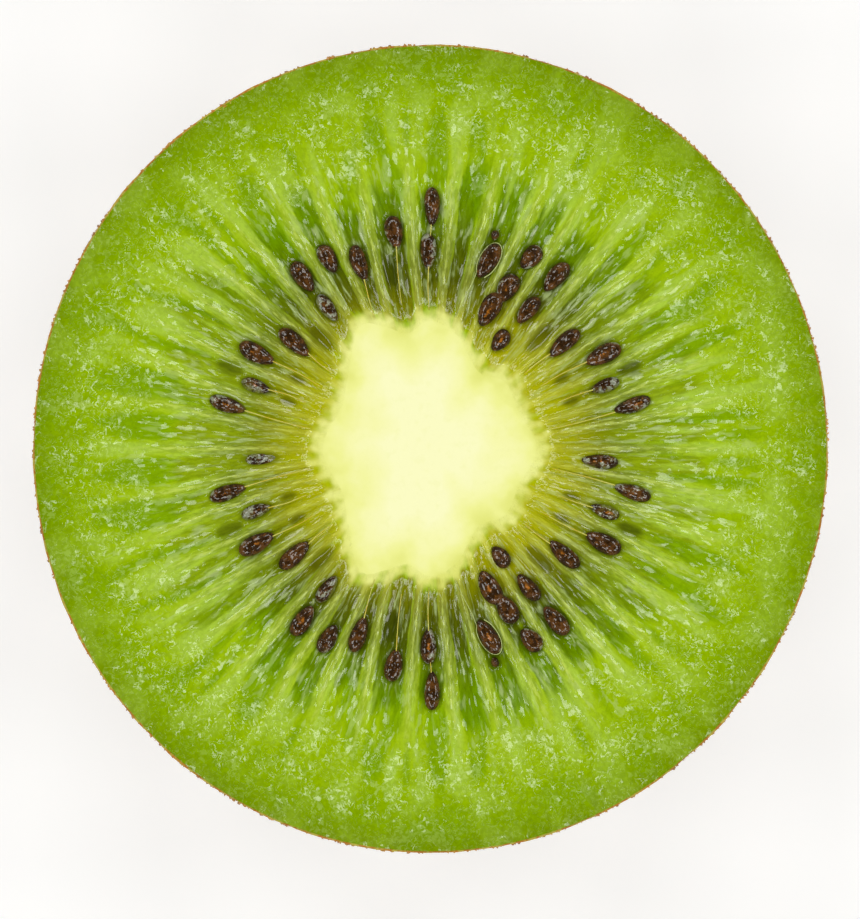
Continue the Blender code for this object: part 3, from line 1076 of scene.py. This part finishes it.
def buildThreads():
    form = bmesh.new()
    paleLayer = form.verts.layers.float.new("pale")
    rings = [ringStops(row) for row in upperSeeds if ringedSeeds.get(row[0], 0) == 1]
    for side in (1, -1):
        for stops in (*upperThreads, *rings):
            isRing = stops in rings
            width = thread["ringWidth" if isRing else "width"]
            points = threadPoints(side, stops, thread["ringSag" if isRing else "sag"])
            heading = (points[1] - points[0]).normalized()
            facing = heading.to_track_quat("Z", "Y").to_matrix().to_4x4()
            facing.translation = points[0] * mm
            corners = bmesh.ops.create_circle(
                form, cap_ends=True, segments=thread["sides"],
                radius=width * thread["thinEnd"] / 2 * mm, matrix=facing,
            )["verts"]
            for corner in corners:
                corner[paleLayer] = float(isRing)
            cap = corners[0].link_faces[0]
            widen = thread["thinEnd"] ** (-1 / (len(points) - 1))
            for number in range(1, len(points)):
                here = points[number]
                grown = bmesh.ops.extrude_face_region(form, geom=[cap])["geom"]
                cap = next(item for item in grown if isinstance(item, bmesh.types.BMFace))
                corners = list(cap.verts)
                bmesh.ops.translate(form, vec=(here - points[number - 1]) * mm, verts=corners)
                ahead = (points[min(number + 1, len(points) - 1)] - points[number - 1]).normalized()
                turn = heading.rotation_difference(ahead).to_matrix()
                bmesh.ops.rotate(form, cent=here * mm, matrix=turn, verts=corners)
                centred = Matrix.Translation(-here * mm)
                bmesh.ops.scale(form, vec=(widen,) * 3, space=centred, verts=corners)
                heading = ahead
    bmesh.ops.recalc_face_normals(form, faces=form.faces)
    piece = finishPiece("threads", form)
    shadeSmooth(piece, 70)
    return piece


def threadFinish():
    finish, tree, shader = newFinish("yellowThread", thread["gloss"])
    colours = thread["colours"]
    place = objectPlace(tree)
    cloud = speckle(tree, place, 0.8, 2)
    bark = speckle(tree, place, 0.2, 2)
    colour = blend(tree, span(tree, cloud, 0.4, 0.65), colours["light"], colours["dark"])
    colour = blend(tree, maskValue(tree, "pale"), colour, colours["pale"])
    feed(tree, shader.inputs["Base Color"], colour)
    feed(tree, shader.inputs["Normal"], relief(tree, bark, thread["barkDepth"]))
    return finish


# Skin

skin = {
    "columns": 480,
    "outerRings": 90,
    "innerRings": 8,
    "rimGap": 0.1,  # the skin ends just below the cut
    "lumps": 0.11,
    "lumpSize": 2.2,
    "roughness": 0.035,
    "roughSize": 0.5,
    "barkDepth": 0.14,
    "colours": {
        "olive": (122, 96, 54),
        "brown": (142, 108, 60),
        "streak": (104, 76, 40),
        "speck": (78, 52, 26),
        "scurf": (176, 146, 92),
        "cutPale": (180, 168, 66),
        "cutBrown": (178, 118, 34),
        "scar": (74, 54, 32),
    },
    "gloss": {"Roughness": 0.75, "Specular IOR Level": 0.3},
}
outerPart, rimPart, innerPart = 0, 1, 2


def skinProfile():
    # From the stem end up the outside to the rim, and down the inside
    cut = fruit["cutHeight"]
    turns = np.linspace(0, math.pi / 2, skin["outerRings"] + 1)
    inside = np.linspace(0, 1, skin["innerRings"] + 1)[1:-1]
    profile = [(0, 0, outerPart, 1)]
    profile += [
        (5 + 20 * math.cos(t), cut * (1 - math.sin(t)), outerPart, math.sin(t)) for t in turns[::-1]
    ]
    profile += [(24.95, cut, rimPart, 0)]
    profile += [(24.7 - 15 * k, cut - 29 * k, innerPart, k) for k in inside]
    return profile + [(0, 0.5, innerPart, 1)]


def buildSkin():
    cut, thickness = fruit["cutHeight"], fruit["skinThickness"]
    piece = lathe("skin", skinProfile(), skin["columns"])
    angle, onAxis, part, share = readPoints(piece)
    isRim, isInner = part == rimPart, part == innerPart
    depth = skin["rimGap"] + share * (cut - skin["rimGap"])
    inner = skinRadius(angle, np.clip(depth, 0, cut - 0.4)) - thickness * 1.3
    radius = np.where(isInner, inner, skinRadius(angle, depth))
    radius = np.where(isRim, rimRadius(angle) - thickness * 1.2, radius)
    radius = np.where(onAxis, 0, radius)
    z = np.where(isRim, cut - 0.06, cut - depth)
    z = np.where(isInner, np.maximum(z, 0.35), z)
    solid = np.column_stack([radius * np.cos(angle), radius * np.sin(angle), z])
    lumps = skin["lumps"] * noiseAt(solid, skin["lumpSize"], 4)
    lumps += skin["roughness"] * noiseAt(solid, skin["roughSize"], 6)
    fade = smoothStep(0, 1.2, z) * (0.7 + 0.3 * smoothStep(0, 0.8, cut - z)) * (part == outerPart)
    writePoints(piece, angle, np.where(onAxis, 0, radius + lumps * fade), z)
    writeMask(piece, "edge", 1 - smoothStep(0.1, 0.5, cut - z))
    writeMask(piece, "scar", 1 - smoothStep(2.2, 4.5, radius))
    shadeSmooth(piece, 50)
    return piece


def skinFinish():
    finish, tree, shader = newFinish("brownSkin", skin["gloss"])
    colours = skin["colours"]
    place = objectPlace(tree)
    cloud = speckle(tree, place, 8.0, 4, 0.6)
    streak = speckle(tree, vectorCalc(tree, "MULTIPLY", place, (1, 1, 0.3)), 1.1, 3, 0.6)
    speck = speckle(tree, place, 0.45, 3, 0.65)
    scurf = speckle(tree, place, 0.9, 3, 0.7)
    colour = blend(tree, span(tree, cloud, 0.3, 0.7), colours["olive"], colours["brown"])
    colour = blend(tree, span(tree, streak, 0.45, 0.65, 0, 0.55), colour, colours["streak"])
    colour = blend(tree, span(tree, speck, 0.56, 0.68, 0, 0.8), colour, colours["speck"])
    colour = blend(tree, span(tree, scurf, 0.58, 0.68, 0, 0.5), colour, colours["scurf"])
    cutEdge = blend(tree, span(tree, speck, 0.42, 0.58), colours["cutPale"], colours["cutBrown"])
    colour = blend(tree, maskValue(tree, "edge"), colour, cutEdge)
    colour = blend(tree, maskValue(tree, "scar"), colour, colours["scar"])
    bark = calc(tree, "ADD", speck, calc(tree, "ADD", scurf, streak))
    feed(tree, shader.inputs["Base Color"], colour)
    feed(tree, shader.inputs["Normal"], relief(tree, bark, skin["barkDepth"]))
    return finish


# Fuzz: short hairs on the skin

fuzz = {
    "hairs": 15000,
    "shortest": 0.6,
    "longest": 1.4,
    "thickness": 0.05,
    "midWidth": 0.75,  # half way up, as a share of the root's
    "rootDepth": 0.06,
    "spread": 0.9,  # how far they turn from pointing at the stem, in radians
    "lifts": (0.1, 0.55),  # least and most angle from the skin
    "droop": 0.3,  # share of that angle which the outer half keeps
    "rimStubs": 320,  # low wide ones, which show as small bumps round the cut
    "stubLengths": (0.08, 0.19),
    "stubWidths": (0.14, 0.34),
    "stubDepths": (0.12, 0.4),
    "stubLift": 2.0,
    "colours": {"dark": (154, 106, 50), "light": (208, 158, 86)},
    "gloss": {"Roughness": 0.55},
}


def hairRoots(rng):
    # Angle, depth, length and thickness of each hair, fewer towards the stem
    hairs = []
    cut = fruit["cutHeight"]
    while len(hairs) < fuzz["hairs"]:
        depth = rng.uniform(0.4, cut - 0.15)
        if rng.random() < domeShare(depth):
            longest = min(fuzz["longest"], 0.2 + depth * 0.12, 0.3 + (cut - depth) * 0.5)
            shortest = min(fuzz["shortest"], longest * 0.6)
            length = rng.uniform(shortest, longest)
            hairs.append((rng.uniform(0, math.tau), depth, length, fuzz["thickness"]))
    for _ in range(fuzz["rimStubs"]):
        length = rng.uniform(*fuzz["stubLengths"])
        width = rng.uniform(*fuzz["stubWidths"])
        hairs.append((rng.uniform(0, math.tau), rng.uniform(*fuzz["stubDepths"]), length, width))
    return hairs


def onSkin(angle, depth):
    radius = skinRadius(angle, depth)
    return np.column_stack([radius * np.cos(angle), radius * np.sin(angle), fruit["cutHeight"] - depth])


def unit(vectors):
    return vectors / np.linalg.norm(vectors, axis=1)[:, None]


def hairPoints(root, outward, lying, length, width, lift):
    # Seven for each hair: a triangle in the skin, one half way up, and the tip
    early = lying * np.cos(lift) + outward * np.sin(lift)
    droop = lift * fuzz["droop"]
    late = lying * np.cos(droop) + outward * np.sin(droop)
    start = root - outward * fuzz["rootDepth"]
    middle = root + early * length * 0.5
    sideA = unit(np.cross(early, outward))
    sideB = np.cross(early, sideA)
    points = []
    for centre, wide in ((start, 1.0), (middle, fuzz["midWidth"])):
        for k in range(3):
            turn = math.tau * k / 3
            reach = sideA * math.cos(turn) + sideB * math.sin(turn)
            points.append(centre + width / 2 * wide * reach)
    points.append(middle + late * length * 0.5)
    return np.stack(points, axis=1).reshape(-1, 3)


def buildFuzz():
    rng = random.Random(23)
    hairs = hairRoots(rng)
    angle, depth, length, width = np.array(hairs).T
    root = onSkin(angle, depth)
    deeper = np.minimum(depth + 0.05, fruit["cutHeight"] - 0.01)
    downward = unit(onSkin(angle, deeper) - root)
    around = np.column_stack([-np.sin(angle), np.cos(angle), np.zeros_like(angle)])
    outward = np.cross(around, downward)
    outward *= np.sign((outward * root).sum(1))[:, None]
    turn = np.array([rng.gauss(0, fuzz["spread"]) for _ in hairs])[:, None]
    lift = np.array([rng.uniform(*fuzz["lifts"]) for _ in hairs])[:, None]
    lift[fuzz["hairs"]:] *= fuzz["stubLift"]
    lying = downward * np.cos(turn) + around * np.sin(turn)
    places = hairPoints(root, outward, lying, length[:, None], width[:, None], lift)
    one = [(0, 2, 1)]
    for k in range(3):
        after = (k + 1) % 3
        one += [(k, after, after + 3), (k, after + 3, k + 3), (k + 3, after + 3, 6)]
    faces = (np.arange(len(hairs))[:, None, None] * 7 + np.array(one)[None]).reshape(-1, 3)
    hairMesh = bpy.data.meshes.new("hairs")
    hairMesh.from_pydata((places * mm).tolist(), [], faces.tolist())
    form = bmesh.new()
    form.from_mesh(hairMesh)
    bpy.data.meshes.remove(hairMesh)
    bmesh.ops.recalc_face_normals(form, faces=form.faces)
    piece = finishPiece("fuzz", form)
    shadeSmooth(piece, 80)
    return piece


def fuzzFinish():
    finish, tree, shader = newFinish("brownHair", fuzz["gloss"])
    colours = fuzz["colours"]
    cloud = speckle(tree, objectPlace(tree), 1.2, 2)
    colour = blend(tree, span(tree, cloud, 0.35, 0.65), colours["dark"], colours["light"])
    feed(tree, shader.inputs["Base Color"], colour)
    return finish


# Floor, lights and camera, with lengths in metres

studio = {
    "floorSize": 3.0,
    "floorColour": (238, 238, 236),
    "floorShade": 0.97,
    "floorGloss": {"Roughness": 0.9, "Emission Color": (1, 1, 1, 1), "Emission Strength": 0.28},
    "boxDistance": 0.6,
    "boxes": 12,
    "boxSize": 0.14,
    "boxPower": 0.43,
    "boxElevation": 45,
    "firstBox": 10,  # its angle, in degrees
    "horizon": 0.3,
    "zenith": 0.01,
}

view = {
    "photoWidth": 860,
    "photoHeight": 919,
    "fruitPixelX": 430.5,  # middle of the fruit in the photograph
    "fruitPixelY": 448.7,
    "fruitPixelWidth": 795,
    "distance": 0.6,
    "sensorWidth": 36,  # in millimetres
    "nearest": 0.01,
    "farthest": 20,
}


def buildFloor():
    form = bmesh.new()
    bmesh.ops.create_grid(form, x_segments=2, y_segments=2, size=studio["floorSize"] / 2)
    floor = finishPiece("floor", form)
    finish, tree, shader = newFinish("paleFloor", studio["floorGloss"])
    cloud = speckle(tree, objectPlace(tree), 60.0, 2)
    pale = linear(studio["floorColour"])
    shade = (*(part * studio["floorShade"] for part in pale[:3]), 1)
    feed(tree, shader.inputs["Base Color"], blend(tree, cloud, pale, shade))
    floor.data.materials.append(finish)


def addBox(name, azimuth):
    # A soft box that faces the cut
    lamp = bpy.data.lights.new(name, "AREA")
    lamp.shape = "SQUARE"
    lamp.size = studio["boxSize"]
    lamp.energy = studio["boxPower"]
    box = bpy.data.objects.new(name, lamp)
    bpy.context.scene.collection.objects.link(box)
    turn, rise = math.radians(azimuth), math.radians(studio["boxElevation"])
    flatReach = math.cos(rise)
    offset = Vector((math.cos(turn) * flatReach, math.sin(turn) * flatReach, math.sin(rise)))
    box.location = Vector((0, 0, fruit["cutHeight"] * mm)) + offset * studio["boxDistance"]
    box.rotation_euler = (-offset).to_track_quat("-Z", "Y").to_euler()


def buildLights():
    for number in range(studio["boxes"]):
        addBox(f"box{number + 1}", 360 * number / studio["boxes"] + studio["firstBox"])
    world = bpy.data.worlds.new("softRoom")
    bpy.context.scene.world = world
    world.use_nodes = True
    tree = world.node_tree
    heading = tree.nodes.new("ShaderNodeTexCoord").outputs["Generated"]
    upward = partsOf(tree, heading)[2]
    back = tree.nodes["Background"]
    back.inputs["Color"].default_value = (1, 1, 1, 1)
    strength = span(tree, upward, 0.05, 0.7, studio["horizon"], studio["zenith"])
    feed(tree, back.inputs["Strength"], strength)
    bpy.context.scene.view_settings.view_transform = "Standard"


def buildCamera():
    # Straight above the cut, with a long lens, framed as the photograph is
    lens = bpy.data.cameras.new("camera")
    camera = bpy.data.objects.new("camera", lens)
    bpy.context.scene.collection.objects.link(camera)
    pixel = 2 * rimX * mm / view["fruitPixelWidth"]
    frameWidth = pixel * view["photoWidth"]
    lens.sensor_fit = "HORIZONTAL"
    lens.sensor_width = view["sensorWidth"]
    lens.lens = lens.sensor_width * view["distance"] / frameWidth
    lens.clip_start = view["nearest"]
    lens.clip_end = view["farthest"]
    right = (view["photoWidth"] / 2 - view["fruitPixelX"]) * pixel
    up = (view["fruitPixelY"] - view["photoHeight"] / 2) * pixel
    camera.location = (right, up, fruit["cutHeight"] * mm + view["distance"])
    bpy.context.scene.camera = camera


def dress(piece, finish, replaced=()):
    piece.data.materials.append(finish)
    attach(piece, "root")
    if replaced:
        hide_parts(*replaced)
    print(piece.name, "is made, with", len(piece.data.polygons), "faces")


buildCamera()
buildFloor()
buildLights()
print("studio is set")
dress(buildPulp(), pulpFinish(), ["flesh"])
dress(buildCore(), coreFinish(), ["core"])
dress(buildSeeds(), seedFinish())
dress(buildThreads(), threadFinish())
dress(buildSkin(), skinFinish())
dress(buildFuzz(), fuzzFinish())
